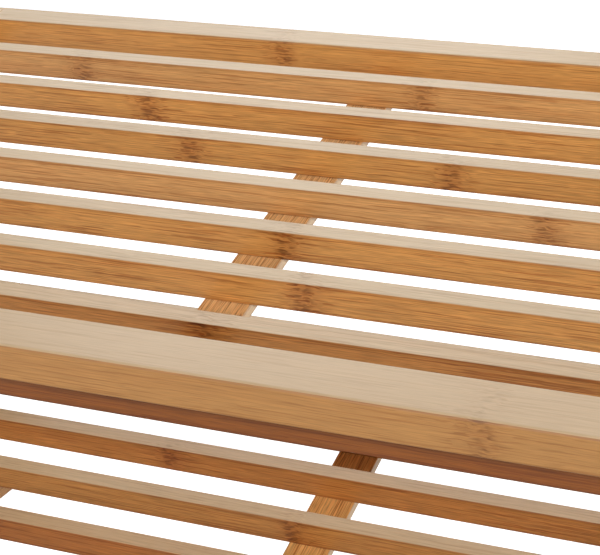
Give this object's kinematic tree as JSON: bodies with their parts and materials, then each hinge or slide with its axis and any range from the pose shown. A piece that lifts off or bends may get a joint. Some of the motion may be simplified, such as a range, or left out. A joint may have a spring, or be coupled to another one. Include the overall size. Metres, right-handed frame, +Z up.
{
  "type": "dish drying rack",
  "caption": "Slatted bamboo rack: sloping tiers of slats on edge over a thin centre rail, each with a raised stop bar along its front, between corner posts on rubber pads.",
  "frame": {"origin": "on the floor under the middle of the rack's bounding box", "axes": "+X to the right along the slats, +Y to the back (the high side of the tiers), +Z up"},
  "size_m": [0.4948, 0.2843, 0.2829],
  "materials": {
    "slat_bamboo": "caramel bamboo under thin satin lacquer, fine straight grain",
    "frame_bamboo": "caramel bamboo under thin satin lacquer, edges eased",
    "screw_steel": "plain domed steel heads",
    "foot_rubber": "matt black"
  },
  "bodies": {
    "root": {"foot_pad_front_left": "foot_rubber", "foot_pad_front_right": "foot_rubber", "foot_pad_rear_left": "foot_rubber", "foot_pad_rear_right": "foot_rubber", "foot_rail_left": "frame_bamboo", "foot_rail_right": "frame_bamboo", "lower_centre_rail": "slat_bamboo", "lower_front_rail": "frame_bamboo", "lower_rear_rail": "frame_bamboo", "lower_side_rail_left": "frame_bamboo", "lower_side_rail_right": "frame_bamboo", "lower_slat_1": "slat_bamboo", "lower_slat_2": "slat_bamboo", "lower_slat_3": "slat_bamboo", "lower_slat_4": "slat_bamboo", "lower_slat_5": "slat_bamboo", "lower_slat_6": "slat_bamboo", "lower_slat_7": "slat_bamboo", "lower_stop_bar": "frame_bamboo", "lower_stop_screw_1": "screw_steel", "lower_stop_screw_2": "screw_steel", "lower_stop_screw_3": "screw_steel", "lower_stop_screw_4": "screw_steel", "post_front_left": "frame_bamboo", "post_front_right": "frame_bamboo", "post_rear_left": "frame_bamboo", "post_rear_right": "frame_bamboo", "screw_foot_front_left": "screw_steel", "screw_foot_front_right": "screw_steel", "screw_foot_rear_left": "screw_steel", "screw_foot_rear_right": "screw_steel", "screw_lower_front_left": "screw_steel", "screw_lower_front_right": "screw_steel", "screw_lower_rear_left": "screw_steel", "screw_lower_rear_right": "screw_steel", "screw_upper_front_left": "screw_steel", "screw_upper_front_right": "screw_steel", "screw_upper_rear_left": "screw_steel", "screw_upper_rear_right": "screw_steel", "upper_centre_rail": "slat_bamboo", "upper_front_rail": "frame_bamboo", "upper_rear_rail": "frame_bamboo", "upper_side_rail_left": "frame_bamboo", "upper_side_rail_right": "frame_bamboo", "upper_slat_1": "slat_bamboo", "upper_slat_2": "slat_bamboo", "upper_slat_3": "slat_bamboo", "upper_slat_4": "slat_bamboo", "upper_slat_5": "slat_bamboo", "upper_slat_6": "slat_bamboo", "upper_slat_7": "slat_bamboo", "upper_stop_bar": "frame_bamboo", "upper_stop_screw_1": "screw_steel", "upper_stop_screw_2": "screw_steel", "upper_stop_screw_3": "screw_steel", "upper_stop_screw_4": "screw_steel"}
  },
  "joints": []
}
